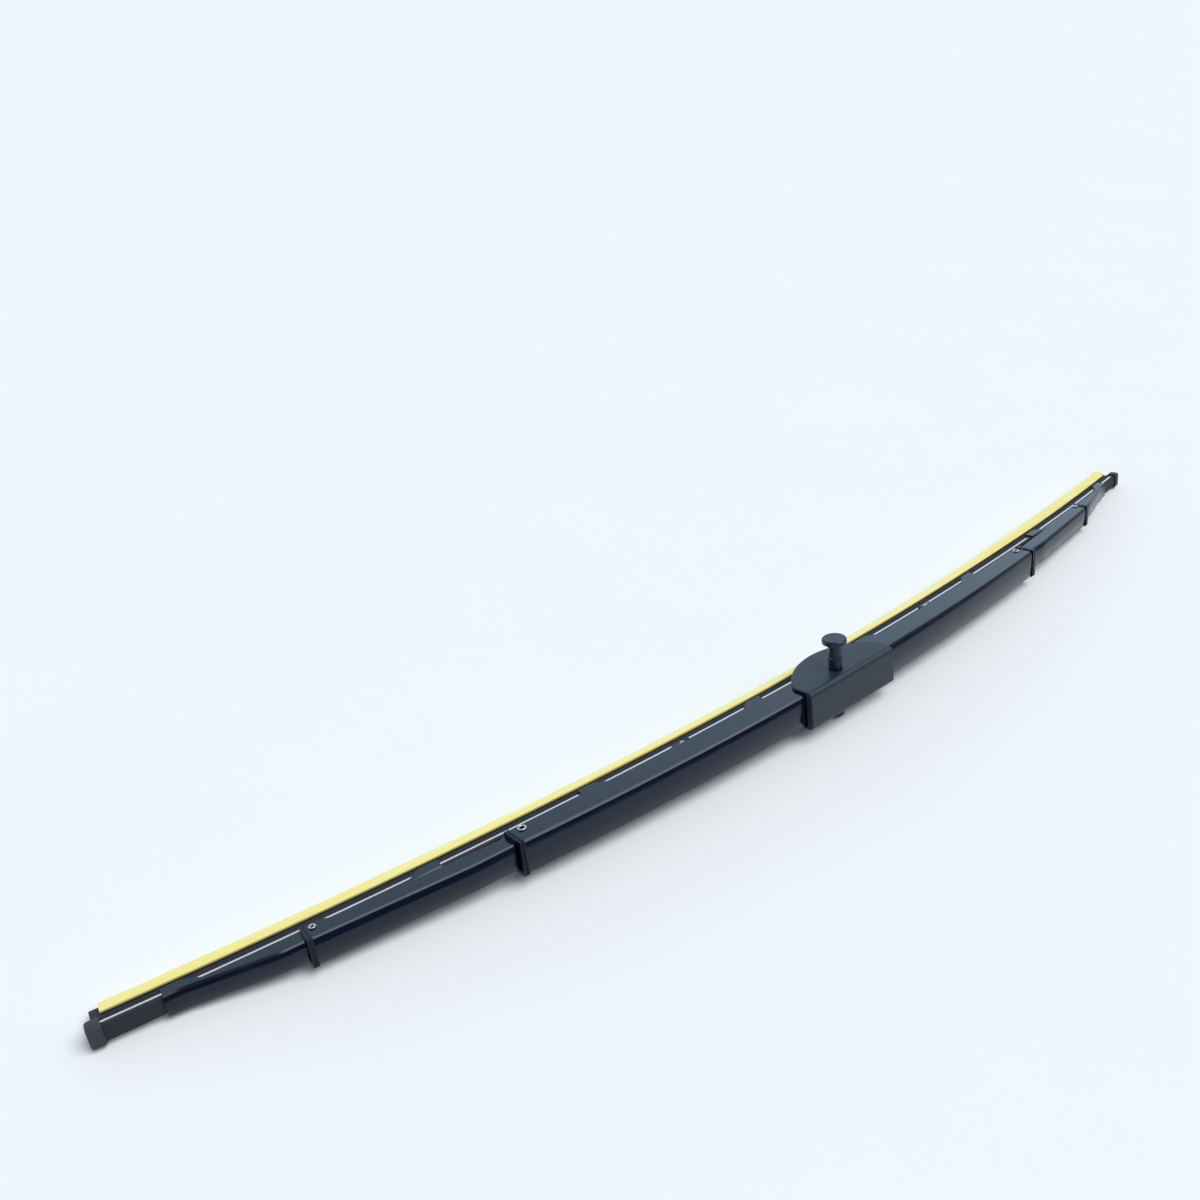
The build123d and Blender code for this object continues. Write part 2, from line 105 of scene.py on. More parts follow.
def addNode(tree, kind, inputs=None, **settings):
    node = tree.nodes.new(kind)
    for name, value in settings.items():
        setattr(node, name, value)
    for key, value in (inputs or {}).items():
        if isinstance(value, bpy.types.NodeSocket):
            tree.links.new(value, node.inputs[key])
        else:
            node.inputs[key].default_value = value
    return node


def toLinear(hexColour):
    channels = [int(hexColour[i:i + 2], 16) / 255 for i in (1, 3, 5)]
    return [c / 12.92 if c <= 0.04045 else ((c + 0.055) / 1.055) ** 2.4 for c in channels] + [1.0]


def perMetre(sizeMm):
    return 1 / (sizeMm * mm)


def newMaterial(name):
    material = bpy.data.materials.new(name)
    material.use_nodes = True
    tree = material.node_tree
    return material, tree, tree.nodes["Principled BSDF"]


# Materials

enamel = {
    # paint, where dust dulls it, radius of the crown that the press leaves across the back,
    # and half of the crown's width, both in mm
    "bridge": ("#030b22", "#0d172a", 20.0, 6.5),
    "lever": ("#030a20", "#0d1528", 11.0, 4.8),
    "yoke": ("#03091d", "#0c1325", 9.0, 3.55),
    "roughness": (0.11, 0.20),
    "ior": 1.47,
    "sheen": "#e2f1ff",  # the lacquer's cold cast where it is seen square on
    "dustMm": 14.0,
    "dustFrom": (0.42, 0.75),  # noise where the dust begins and is full
    "dustMost": 0.45,
    "scuffMm": (40.0, 0.7),  # along and across
    "scuffFrom": (0.58, 0.78),
    "scuffMost": 0.35,
    "peelMm": 0.9,  # orange peel is nearer 0.4 mm, drawn coarser to show
    "peelHeightMm": 0.012,
}


def enamelOnSteel(name, paint, dust, crownMm, flatMm):
    # Stoved black enamel on pressed steel: deep and glossy, a soft peel in the highlights and thin dust,
    # over backs that the press leaves slightly crowned
    material, tree, shader = newMaterial(name)
    place = addNode(tree, "ShaderNodeTexCoord").outputs["Object"]
    along, across = enamel["scuffMm"]
    cloud = addNode(tree, "ShaderNodeTexNoise", {
        "Vector": place, "Scale": perMetre(enamel["dustMm"]), "Detail": 5.0})
    stretch = addNode(tree, "ShaderNodeMapping", {
        "Vector": place, "Scale": (perMetre(along), perMetre(across), perMetre(across))})
    scuff = addNode(tree, "ShaderNodeTexNoise", {
        "Vector": stretch.outputs["Vector"], "Scale": 1.0, "Detail": 3.0})
    low, high = enamel["scuffFrom"]
    thin = addNode(tree, "ShaderNodeMapRange", {
        "Value": scuff.outputs["Fac"], "From Min": low, "From Max": high, "To Max": enamel["scuffMost"]})
    low, high = enamel["dustFrom"]
    film = addNode(tree, "ShaderNodeMapRange", {
        "Value": cloud.outputs["Fac"], "From Min": low, "From Max": high, "To Max": enamel["dustMost"]})
    worn = addNode(tree, "ShaderNodeMath", {
        0: thin.outputs["Result"], 1: film.outputs["Result"]}, operation="ADD")
    tint = addNode(tree, "ShaderNodeMix", {
        "Factor": worn.outputs["Value"], 6: toLinear(paint), 7: toLinear(dust)}, data_type="RGBA")
    gloss = addNode(tree, "ShaderNodeMapRange", {
        "Value": cloud.outputs["Fac"], "From Min": noiseLow, "From Max": noiseHigh,
        "To Min": enamel["roughness"][0], "To Max": enamel["roughness"][1]})
    offset = addNode(tree, "ShaderNodeVectorMath", {0: place, 1: bladeOrigin}, operation="SUBTRACT")
    side = addNode(tree, "ShaderNodeVectorMath", {
        0: offset.outputs["Vector"], 1: pinUp}, operation="DOT_PRODUCT")
    flat = addNode(tree, "ShaderNodeClamp", {
        "Value": side.outputs["Value"], "Min": -flatMm * mm, "Max": flatMm * mm})
    squared = addNode(tree, "ShaderNodeMath", {0: flat.outputs["Result"], 1: 2.0}, operation="POWER")
    fall = addNode(tree, "ShaderNodeMath", {
        0: squared.outputs["Value"], 1: -0.5 * perMetre(crownMm)}, operation="MULTIPLY")
    crown = addNode(tree, "ShaderNodeBump", {
        "Height": fall.outputs["Value"], "Distance": 1.0, "Strength": 1.0})
    peel = addNode(tree, "ShaderNodeTexNoise", {
        "Vector": place, "Scale": perMetre(enamel["peelMm"]), "Detail": 1.0})
    bump = addNode(tree, "ShaderNodeBump", {
        "Height": peel.outputs["Fac"], "Distance": enamel["peelHeightMm"] * mm, "Strength": 1.0,
        "Normal": crown.outputs["Normal"]})
    tree.links.new(tint.outputs[2], shader.inputs["Base Color"])
    tree.links.new(gloss.outputs["Result"], shader.inputs["Roughness"])
    tree.links.new(bump.outputs["Normal"], shader.inputs["Normal"])
    shader.inputs["IOR"].default_value = enamel["ior"]
    shader.inputs["Specular Tint"].default_value = toLinear(enamel["sheen"])
    return material


acetal = {
    "colour": "#122030",
    "pale": "#1e2f41",
    "mottleMm": 6.0,
    "grainMm": 0.55,  # spark-eroded grain is about 0.1 mm, drawn coarser to show
    "grainHeightMm": 0.02,
    "roughness": (0.40, 0.52),
    "ior": 1.48,
}


def acetalMoulded(name):
    # Acetal moulded in a spark-eroded tool: a satin slate black with a fine even grain
    material, tree, shader = newMaterial(name)
    place = addNode(tree, "ShaderNodeTexCoord").outputs["Object"]
    mottle = addNode(tree, "ShaderNodeTexNoise", {
        "Vector": place, "Scale": perMetre(acetal["mottleMm"]), "Detail": 4.0})
    grain = addNode(tree, "ShaderNodeTexNoise", {
        "Vector": place, "Scale": perMetre(acetal["grainMm"]), "Detail": 2.0})
    tint = addNode(tree, "ShaderNodeMix", {
        "Factor": mottle.outputs["Fac"], 6: toLinear(acetal["colour"]), 7: toLinear(acetal["pale"])},
        data_type="RGBA")
    gloss = addNode(tree, "ShaderNodeMapRange", {
        "Value": grain.outputs["Fac"], "From Min": noiseLow, "From Max": noiseHigh,
        "To Min": acetal["roughness"][0], "To Max": acetal["roughness"][1]})
    bump = addNode(tree, "ShaderNodeBump", {
        "Height": grain.outputs["Fac"], "Distance": acetal["grainHeightMm"] * mm, "Strength": 0.6})
    tree.links.new(tint.outputs[2], shader.inputs["Base Color"])
    tree.links.new(gloss.outputs["Result"], shader.inputs["Roughness"])
    tree.links.new(bump.outputs["Normal"], shader.inputs["Normal"])
    shader.inputs["IOR"].default_value = acetal["ior"]
    return material


oxide = {
    "colour": "#0c0f18",
    "rubbed": "#1b202c",
    "blotchMm": 3.0,
    "turningMm": 0.5,
    "turningHeightMm": 0.01,
    "roughness": (0.26, 0.40),
    "sheen": "#cfe2ff",
}


def steelBlackened(name):
    # Turned steel with a black oxide: dull, blue black, with faint turning rings round the pin
    material, tree, shader = newMaterial(name)
    place = addNode(tree, "ShaderNodeTexCoord").outputs["Object"]
    turned = addNode(tree, "ShaderNodeMapping", {
        "Vector": place, "Rotation": (math.asin(pinUp.y), 0, 0)})
    ringScale = perMetre(oxide["turningMm"]) / (2 * math.pi)
    rings = addNode(tree, "ShaderNodeTexWave", {
        "Vector": turned.outputs["Vector"], "Scale": ringScale, "Distortion": 1.0}, bands_direction="Z")
    blotch = addNode(tree, "ShaderNodeTexNoise", {
        "Vector": place, "Scale": perMetre(oxide["blotchMm"]), "Detail": 4.0})
    tint = addNode(tree, "ShaderNodeMix", {
        "Factor": blotch.outputs["Fac"], 6: toLinear(oxide["colour"]), 7: toLinear(oxide["rubbed"])},
        data_type="RGBA")
    gloss = addNode(tree, "ShaderNodeMapRange", {
        "Value": blotch.outputs["Fac"], "From Min": noiseLow, "From Max": noiseHigh,
        "To Min": oxide["roughness"][0], "To Max": oxide["roughness"][1]})
    bump = addNode(tree, "ShaderNodeBump", {
        "Height": rings.outputs["Fac"], "Distance": oxide["turningHeightMm"] * mm, "Strength": 0.5})
    tree.links.new(tint.outputs[2], shader.inputs["Base Color"])
    tree.links.new(gloss.outputs["Result"], shader.inputs["Roughness"])
    tree.links.new(bump.outputs["Normal"], shader.inputs["Normal"])
    shader.inputs["Specular Tint"].default_value = toLinear(oxide["sheen"])
    return material


nylon = {
    "colour": "#060913",
    "pale": "#0e1420",
    "mottleMm": 2.5,
    "roughness": (0.13, 0.22),
    "ior": 1.53,
    "specularLevel": 0.3,  # its waxy skin reflects less than clean nylon
    "sheen": "#d4e6ff",
}


def nylonMoulded(name):
    # Black nylon from a polished tool: smooth, a little waxy, its gloss uneven
    material, tree, shader = newMaterial(name)
    place = addNode(tree, "ShaderNodeTexCoord").outputs["Object"]
    mottle = addNode(tree, "ShaderNodeTexNoise", {
        "Vector": place, "Scale": perMetre(nylon["mottleMm"]), "Detail": 3.0})
    tint = addNode(tree, "ShaderNodeMix", {
        "Factor": mottle.outputs["Fac"], 6: toLinear(nylon["colour"]), 7: toLinear(nylon["pale"])},
        data_type="RGBA")
    gloss = addNode(tree, "ShaderNodeMapRange", {
        "Value": mottle.outputs["Fac"], "From Min": noiseLow, "From Max": noiseHigh,
        "To Min": nylon["roughness"][0], "To Max": nylon["roughness"][1]})
    tree.links.new(tint.outputs[2], shader.inputs["Base Color"])
    tree.links.new(gloss.outputs["Result"], shader.inputs["Roughness"])
    shader.inputs["IOR"].default_value = nylon["ior"]
    shader.inputs["Specular IOR Level"].default_value = nylon["specularLevel"]
    shader.inputs["Specular Tint"].default_value = toLinear(nylon["sheen"])
    return material


zinc = {
    "lip": ("#d3d6d9", "#a3a6ab"),  # plate, and its tarnish
    "boreShade": ("#3b3d43", "#232429"),  # painted shade of the hole: darker colours than the lip
    "blotchMm": 0.9,
    "roughness": (0.28, 0.45),
}


def steelZincPlated(name, plate, tarnish):
    # Zinc plate on rivet steel: bright and cool on the rolled lip, clouded by tarnish; in the bore, darker
    # colours are painted shade of the hole
    material, tree, shader = newMaterial(name)
    place = addNode(tree, "ShaderNodeTexCoord").outputs["Object"]
    blotch = addNode(tree, "ShaderNodeTexNoise", {
        "Vector": place, "Scale": perMetre(zinc["blotchMm"]), "Detail": 3.0})
    tint = addNode(tree, "ShaderNodeMix", {
        "Factor": blotch.outputs["Fac"], 6: toLinear(plate), 7: toLinear(tarnish)}, data_type="RGBA")
    gloss = addNode(tree, "ShaderNodeMapRange", {
        "Value": blotch.outputs["Fac"], "From Min": noiseLow, "From Max": noiseHigh,
        "To Min": zinc["roughness"][0], "To Max": zinc["roughness"][1]})
    tree.links.new(tint.outputs[2], shader.inputs["Base Color"])
    tree.links.new(gloss.outputs["Result"], shader.inputs["Roughness"])
    shader.inputs["Metallic"].default_value = 1.0
    return material


rubber = {
    "colour": "#161621",
    "bloom": "#272735",  # wax that comes to the surface
    "bloomMm": (30.0, 1.6),  # along and across the strip
    "lineMm": (60.0, 0.35),
    "lineHeightMm": 0.03,
    "roughness": (0.62, 0.82),
}


def rubberExtruded(name):
    # Natural rubber, extruded and slit: matte charcoal, with faint die lines and a dull bloom along it
    material, tree, shader = newMaterial(name)
    place = addNode(tree, "ShaderNodeTexCoord").outputs["Object"]
    along, across = rubber["bloomMm"]
    wide = addNode(tree, "ShaderNodeMapping", {
        "Vector": place, "Scale": (perMetre(along), perMetre(across), perMetre(across))})
    bloom = addNode(tree, "ShaderNodeTexNoise", {
        "Vector": wide.outputs["Vector"], "Scale": 1.0, "Detail": 5.0})
    along, across = rubber["lineMm"]
    fine = addNode(tree, "ShaderNodeMapping", {
        "Vector": place, "Scale": (perMetre(along), perMetre(across), perMetre(across))})
    lines = addNode(tree, "ShaderNodeTexNoise", {
        "Vector": fine.outputs["Vector"], "Scale": 1.0, "Detail": 2.0})
    tint = addNode(tree, "ShaderNodeMix", {
        "Factor": bloom.outputs["Fac"], 6: toLinear(rubber["colour"]), 7: toLinear(rubber["bloom"])},
        data_type="RGBA")
    gloss = addNode(tree, "ShaderNodeMapRange", {
        "Value": bloom.outputs["Fac"], "From Min": noiseLow, "From Max": noiseHigh,
        "To Min": rubber["roughness"][0], "To Max": rubber["roughness"][1]})
    bump = addNode(tree, "ShaderNodeBump", {
        "Height": lines.outputs["Fac"], "Distance": rubber["lineHeightMm"] * mm, "Strength": 0.5})
    tree.links.new(tint.outputs[2], shader.inputs["Base Color"])
    tree.links.new(gloss.outputs["Result"], shader.inputs["Roughness"])
    tree.links.new(bump.outputs["Normal"], shader.inputs["Normal"])
    return material


springSteel = {
    "colour": "#f4eeea",
    "dull": "#ccc7c4",
    "streakMm": (25.0, 0.3),  # along and across
    "roughness": (0.16, 0.30),
}


def steelColdRolled(name):
    # Cold rolled spring steel: bright, with long rolling streaks that stretch its reflections
    material, tree, shader = newMaterial(name)
    place = addNode(tree, "ShaderNodeTexCoord").outputs["Object"]
    along, across = springSteel["streakMm"]
    stretch = addNode(tree, "ShaderNodeMapping", {
        "Vector": place, "Scale": (perMetre(along), perMetre(across), perMetre(across))})
    streak = addNode(tree, "ShaderNodeTexNoise", {
        "Vector": stretch.outputs["Vector"], "Scale": 1.0, "Detail": 3.0})
    tint = addNode(tree, "ShaderNodeMix", {
        "Factor": streak.outputs["Fac"],
        6: toLinear(springSteel["colour"]), 7: toLinear(springSteel["dull"])}, data_type="RGBA")
    gloss = addNode(tree, "ShaderNodeMapRange", {
        "Value": streak.outputs["Fac"], "From Min": noiseLow, "From Max": noiseHigh,
        "To Min": springSteel["roughness"][0], "To Max": springSteel["roughness"][1]})
    tree.links.new(tint.outputs[2], shader.inputs["Base Color"])
    tree.links.new(gloss.outputs["Result"], shader.inputs["Roughness"])
    shader.inputs["Metallic"].default_value = 1.0
    return material


polythene = {
    "colour": "#f6e67a",
    "pale": "#fbf4ae",
    "streakMm": (70.0, 0.8),  # along and across
    "streakFrom": (0.32, 0.68),  # noise where the pale streaks begin and are full
    "drawHeightMm": 0.02,
    "roughness": (0.36, 0.5),
    "ior": 1.51,
}


def polytheneExtruded(name):
    # Pale lemon polythene, extruded: a waxy sheen with long faint draw lines
    material, tree, shader = newMaterial(name)
    place = addNode(tree, "ShaderNodeTexCoord").outputs["Object"]
    along, across = polythene["streakMm"]
    stretch = addNode(tree, "ShaderNodeMapping", {
        "Vector": place, "Scale": (perMetre(along), perMetre(across), perMetre(across))})
    streak = addNode(tree, "ShaderNodeTexNoise", {
        "Vector": stretch.outputs["Vector"], "Scale": 1.0, "Detail": 4.0})
    low, high = polythene["streakFrom"]
    spread = addNode(tree, "ShaderNodeMapRange", {
        "Value": streak.outputs["Fac"], "From Min": low, "From Max": high})
    tint = addNode(tree, "ShaderNodeMix", {
        "Factor": spread.outputs["Result"],
        6: toLinear(polythene["colour"]), 7: toLinear(polythene["pale"])}, data_type="RGBA")
    gloss = addNode(tree, "ShaderNodeMapRange", {
        "Value": streak.outputs["Fac"], "From Min": noiseLow, "From Max": noiseHigh,
        "To Min": polythene["roughness"][0], "To Max": polythene["roughness"][1]})
    bump = addNode(tree, "ShaderNodeBump", {
        "Height": streak.outputs["Fac"], "Distance": polythene["drawHeightMm"] * mm, "Strength": 0.6})
    tree.links.new(tint.outputs[2], shader.inputs["Base Color"])
    tree.links.new(gloss.outputs["Result"], shader.inputs["Roughness"])
    tree.links.new(bump.outputs["Normal"], shader.inputs["Normal"])
    shader.inputs["IOR"].default_value = polythene["ior"]
    return material


softVinyl = {
    "colour": "#1f1f28",
    "pale": "#434350",
    "mottleMm": 1.6,
    "grainMm": 0.5,
    "grainHeightMm": 0.03,
    "roughness": (0.55, 0.72),
}


def vinylDipped(name):
    # Soft vinyl, dip moulded: charcoal, matte and slightly lumpy
    material, tree, shader = newMaterial(name)
    place = addNode(tree, "ShaderNodeTexCoord").outputs["Object"]
    mottle = addNode(tree, "ShaderNodeTexNoise", {
        "Vector": place, "Scale": perMetre(softVinyl["mottleMm"]), "Detail": 4.0})
    grain = addNode(tree, "ShaderNodeTexNoise", {
        "Vector": place, "Scale": perMetre(softVinyl["grainMm"]), "Detail": 2.0})
    tint = addNode(tree, "ShaderNodeMix", {
        "Factor": mottle.outputs["Fac"],
        6: toLinear(softVinyl["colour"]), 7: toLinear(softVinyl["pale"])}, data_type="RGBA")
    gloss = addNode(tree, "ShaderNodeMapRange", {
        "Value": mottle.outputs["Fac"], "From Min": noiseLow, "From Max": noiseHigh,
        "To Min": softVinyl["roughness"][0], "To Max": softVinyl["roughness"][1]})
    bump = addNode(tree, "ShaderNodeBump", {
        "Height": grain.outputs["Fac"], "Distance": softVinyl["grainHeightMm"] * mm, "Strength": 0.5})
    tree.links.new(tint.outputs[2], shader.inputs["Base Color"])
    tree.links.new(gloss.outputs["Result"], shader.inputs["Roughness"])
    tree.links.new(bump.outputs["Normal"], shader.inputs["Normal"])
    return material


finish = {
    "bridge_paint": enamelOnSteel("stovedEnamelBridge", *enamel["bridge"]),
    "lever_paint": enamelOnSteel("stovedEnamelLever", *enamel["lever"]),
    "yoke_paint": enamelOnSteel("stovedEnamelYoke", *enamel["yoke"]),
    "adapter_plastic": acetalMoulded("acetalMoulded"),
    "pin_steel": steelBlackened("steelBlackened"),
    "bush_plastic": nylonMoulded("nylonMoulded"),
    "rivet_steel": steelZincPlated("steelZincPlated", *zinc["lip"]),
    # painted shade: the tube shows only its bore, coloured dark in place of the hole's shade
    "rivet_bore_shade": steelZincPlated("steelZincPlatedBoreShade", *zinc["boreShade"]),
    "strip_rubber": rubberExtruded("rubberExtruded"),
    "spline_steel": steelColdRolled("steelColdRolled"),
    "sleeve_plastic": polytheneExtruded("polytheneExtruded"),
    "cap_plastic": vinylDipped("vinylDipped"),
}
print("materials:", len(finish))


# Node trees for meshes

def newTree(name, inputs):
    # A tree with these inputs and a mesh as its output, and the identifier of each input
    tree = bpy.data.node_groups.new(name, "GeometryNodeTree")
    sizes = {}
    for label, kind in inputs.items():
        socket = tree.interface.new_socket(label, in_out="INPUT", socket_type="NodeSocket" + kind)
        sizes[label] = socket.identifier
    tree.interface.new_socket("Geometry", in_out="OUTPUT", socket_type="NodeSocketGeometry")
    return tree, sizes


def plainMesh(name, tree, settings, source=None):
    # Runs a node tree once and keeps its result as a plain mesh
    maker = bpy.data.objects.new(name, source or bpy.data.meshes.new(name + "Source"))
    bpy.context.scene.collection.objects.link(maker)
    modifier = maker.modifiers.new("nodes", "NODES")
    modifier.node_group = tree
    for identifier, value in settings.items():
        modifier[identifier] = value
    made = bpy.data.meshes.new_from_object(maker.evaluated_get(bpy.context.evaluated_depsgraph_get()))
    maker.modifiers.remove(modifier)
    maker.data = made
    made.name = name
    return maker


# CAD nodes: the right finish, and a small bevel that lets pressed and moulded edges catch the light

edges = {
    "nodes": {  # end of the node's name, then its slot and edge radius in mm
        "primary_bridge": ("bridge_paint", 0.45),
        "secondary_lever": ("lever_paint", 0.40),
        "yoke": ("yoke_paint", 0.33),
        "arm_adapter": ("adapter_plastic", 0.45),
        "arm_pin": ("pin_steel", 0.20),
        "bush": ("bush_plastic", 0.30),
        # the tube shows only its bore, which gets the zinc's dark copy as painted shade
        "rivet": ("rivet_bore_shade", 0.12),
    },
    "segments": 3,
    "sharperThanDeg": 28.0,
    "creaseDeg": 20.0,  # steeper edges are creases
    "flatDeg": 0.5,  # triangles that turn less than this become one face
    "weldMm": 0.002,
}


def softShadeTree():
    # Curved faces shade as one surface, and creases stay crisp
    tree, sizes = newTree("softShade", {"Geometry": "Geometry", "Crease": "Float"})
    given = addNode(tree, "NodeGroupInput").outputs
    turn = addNode(tree, "GeometryNodeInputMeshEdgeAngle").outputs["Unsigned Angle"]
    crisp = addNode(tree, "FunctionNodeCompare", {0: turn, 1: given["Crease"]}, operation="GREATER_THAN")
    shaded = addNode(tree, "GeometryNodeSetMeshNormal", {
        "Mesh": given["Geometry"], "Remove Custom": True, "Edge Sharpness": crisp.outputs["Result"]},
        mode="SHARPNESS")
    addNode(tree, "NodeGroupOutput", {"Geometry": shaded.outputs["Mesh"]})
    return tree, sizes


softShade, shadeSizes = softShadeTree()


def coatNode(node, slot):
    # One finish, and a weld, because a CAD node comes as loose triangles
    node.data.materials.clear()
    node.data.materials.append(finish[slot])
    weld = node.modifiers.new("weld", "WELD")
    weld.merge_threshold = edges["weldMm"] * mm


def dressNode(node, slot, radiusMm):
    coatNode(node, slot)
    flat = node.modifiers.new("flat", "DECIMATE")
    flat.decimate_type = "DISSOLVE"
    flat.angle_limit = math.radians(edges["flatDeg"])
    shade = node.modifiers.new("shade", "NODES")
    shade.node_group = softShade
    shade[shadeSizes["Crease"]] = math.radians(edges["creaseDeg"])
    bevel = node.modifiers.new("edge", "BEVEL")
    bevel.width = radiusMm * mm
    bevel.segments = edges["segments"]
    bevel.limit_method = "ANGLE"
    bevel.angle_limit = math.radians(edges["sharperThanDeg"])
    bevel.use_clamp_overlap = True
    bevel.harden_normals = True


for ending, (slot, radiusMm) in edges["nodes"].items():
    for name, node in nodes.items():
        if name.endswith(ending):
            dressNode(node, slot, radiusMm)

softCap = {
    "voxelMm": 0.22,
    "rounds": 20,  # of smoothing, which melt the edges
    "pull": 0.5,
}


def softenNode(node, slot):
    # Dipped vinyl has no sharp edge anywhere
    coatNode(node, slot)
    cells = node.modifiers.new("cells", "REMESH")
    cells.mode = "VOXEL"
    cells.voxel_size = softCap["voxelMm"] * mm
    cells.use_smooth_shade = True
    melt = node.modifiers.new("melt", "SMOOTH")
    melt.factor = softCap["pull"]
    melt.iterations = softCap["rounds"]


for name, node in nodes.items():
    if name.endswith("end_cap"):
        softenNode(node, "cap_plastic")
print("CAD nodes dressed")


# Rubber strip, splines and sleeve: swept along the bow, in four lengths that meet at the lever pivots and
# the middle

strip = {
    "endX": 298.0,  # mm
    "cornerMm": 0.18,
    # depth towards the lip from the spline line, and half width
    "side": [(-2.2, 2.8), (-1.8, 3.2), (-0.9, 3.2), (-0.9, 1.0), (0.1, 1.0), (0.1, 3.2), (1.2, 3.2),
             (1.2, 0.8), (2.6, 0.8), (2.9, 2.3), (3.5, 2.3), (4.1, 1.4), (9.6, 0.4)],
}
spring = {
    "endX": 297.0,
    "cornerMm": 0.12,
    "section": [(-0.88, 1.02), (0.08, 1.02), (0.08, 3.25), (-0.88, 3.25)],
}
sleeve = {
    "endX": 295.0,
    "cornerMm": 0.25,
    "side": [(5.8, 2.25), (10.2, 1.6), (10.8, 1.0)],
    "inside": [(9.8, 0.6), (5.8, 1.23)],
}
lean = {
    # where the soft lip and its sleeve start to lie over, where that ends, both in mm, and the angle there
    "left": (-60.0, -170.0, 9.0),
    "right": (20.0, 200.0, 36.0),
    "hingeMm": 3.5,  # depth of the wings, which stay level
    "slots": ("strip_rubber", "sleeve_plastic"),
}
spigot = {
    "reachMm": 1.4,
    "insetMm": 0.08,
    "endMm": 0.1,  # how near the middle an end face lies
}
lengths = {
    "stepMm": 4.0,
    "clawReach": 29.0,  # mm from a lever pivot to the nearest claws
    "cornerSteps": 3,
    "sideParts": 2.5,  # a corner's arc takes up one such part of a side at most
    "creaseDeg": 50.0,
    # name, which span, body at the first end, body at the second, side of the blade
    "spans": [
        ("LeftOuter", "outer", "left_outer_yoke", "left_lever", -1),
        ("LeftInner", "inner", "left_lever", "left_inner_yoke", -1),
        ("RightInner", "inner", "right_inner_yoke", "right_lever", 1),
        ("RightOuter", "outer", "right_lever", "right_outer_yoke", 1),
    ],
}


def mirrored(points):
    return [(depth, -half) for depth, half in reversed(points)]


def softened(points, radius):
    # Each corner becomes a short arc, no larger than its sides allow
    steps = lengths["cornerSteps"]
    rounded = []
    for i, corner in enumerate(points):
        here, before, after = Vector(corner), Vector(points[i - 1]), Vector(points[(i + 1) % len(points)])
        shorter = min((before - here).length, (after - here).length)
        reach = min(radius, shorter / lengths["sideParts"])
        first = here + (before - here).normalized() * reach
        last = here + (after - here).normalized() * reach
        for step in range(steps):
            t = step / (steps - 1)
            rounded.append(first * (1 - t) ** 2 + here * 2 * t * (1 - t) + last * t ** 2)
    return rounded


def sectionCurve(name, points):
    # Closed section for the sweep, which puts its x away from the lip and its y down the pin
    section = [Vector((-point.x, -point.y)) for point in points]
    area = sum(a.x * b.y - a.y * b.x for a, b in zip(section, section[1:] + section[:1]))
    if area < 0:
        section.reverse()
    curve = bpy.data.curves.new(name, "CURVE")
    curve.dimensions = "2D"
    spline = curve.splines.new("POLY")
    spline.points.add(len(section) - 1)
    for point, place in zip(spline.points, section):
        point.co = (place.x, place.y, 0, 1)
    spline.use_cyclic_u = True
    return bpy.data.objects.new(name, curve)


def bowSweepTree():
    tree, sizes = newTree("bowSweep", {
        "Radius": "Float", "Start": "Float", "Sweep": "Float", "Steps": "Int",
        "Middle": "Vector", "Section": "Object", "Finish": "Material"})
    given = addNode(tree, "NodeGroupInput").outputs
    arc = addNode(tree, "GeometryNodeCurveArc", {
        "Resolution": given["Steps"], "Radius": given["Radius"],
        "Start Angle": given["Start"], "Sweep Angle": given["Sweep"]})
    moved = addNode(tree, "GeometryNodeTransform", {
        "Geometry": arc.outputs["Curve"], "Translation": given["Middle"]})
    upright = addNode(tree, "GeometryNodeSetCurveNormal", {"Curve": moved.outputs["Geometry"]}, mode="Z_UP")
    section = addNode(tree, "GeometryNodeObjectInfo", {"Object": given["Section"]})
    swept = addNode(tree, "GeometryNodeCurveToMesh", {
        "Curve": upright.outputs["Curve"], "Profile Curve": section.outputs["Geometry"], "Fill Caps": True})
    real = addNode(tree, "GeometryNodeRealizeInstances", {"Geometry": swept.outputs["Mesh"]})
    finished = addNode(tree, "GeometryNodeSetMaterial", {
        "Geometry": real.outputs["Geometry"], "Material": given["Finish"]})
    addNode(tree, "NodeGroupOutput", {"Geometry": finished.outputs["Geometry"]})
    return tree, sizes


bowSweep, sweepSizes = bowSweepTree()


def leanOver(mesh):
    # What lies past the wings turns about them, the more the nearer it is to an end
    for vertex in mesh.vertices:
        turn = 0.0
        for start, stop, angle in (lean["left"], lean["right"]):
            share = min(max((vertex.co.x - start) / (stop - start), 0.0), 1.0)
            turn += math.radians(angle) * share ** 2
        spoke = Vector((vertex.co.x, vertex.co.y - bowCenter))
        past = bowRadius - spoke.length - lean["hingeMm"]
        if past > 0:
            depth = lean["hingeMm"] + past * math.cos(turn) - vertex.co.z * math.sin(turn)
            height = vertex.co.z * math.cos(turn) + past * math.sin(turn)
            spoke = spoke.normalized() * (bowRadius - depth)
            vertex.co = (spoke.x, bowCenter + spoke.y, height)


def growSpigot(mesh):
    # A short spigot at the middle closes the split that opens there when the bow flattens
    work = bmesh.new()
    work.from_mesh(mesh)
    near = spigot["endMm"]
    ends = [face for face in work.faces if all(abs(vertex.co.x) < near for vertex in face.verts)]
    bmesh.ops.inset_region(work, faces=ends, thickness=spigot["insetMm"], use_even_offset=True)
    grown = bmesh.ops.extrude_face_region(work, geom=ends)
    tip = [part for part in grown["geom"] if isinstance(part, bmesh.types.BMVert)]
    bmesh.ops.translate(work, verts=tip, vec=(spigot["reachMm"], 0.0, 0.0))
    bmesh.ops.delete(work, geom=ends, context="FACES_ONLY")
    work.to_mesh(mesh)
    work.free()


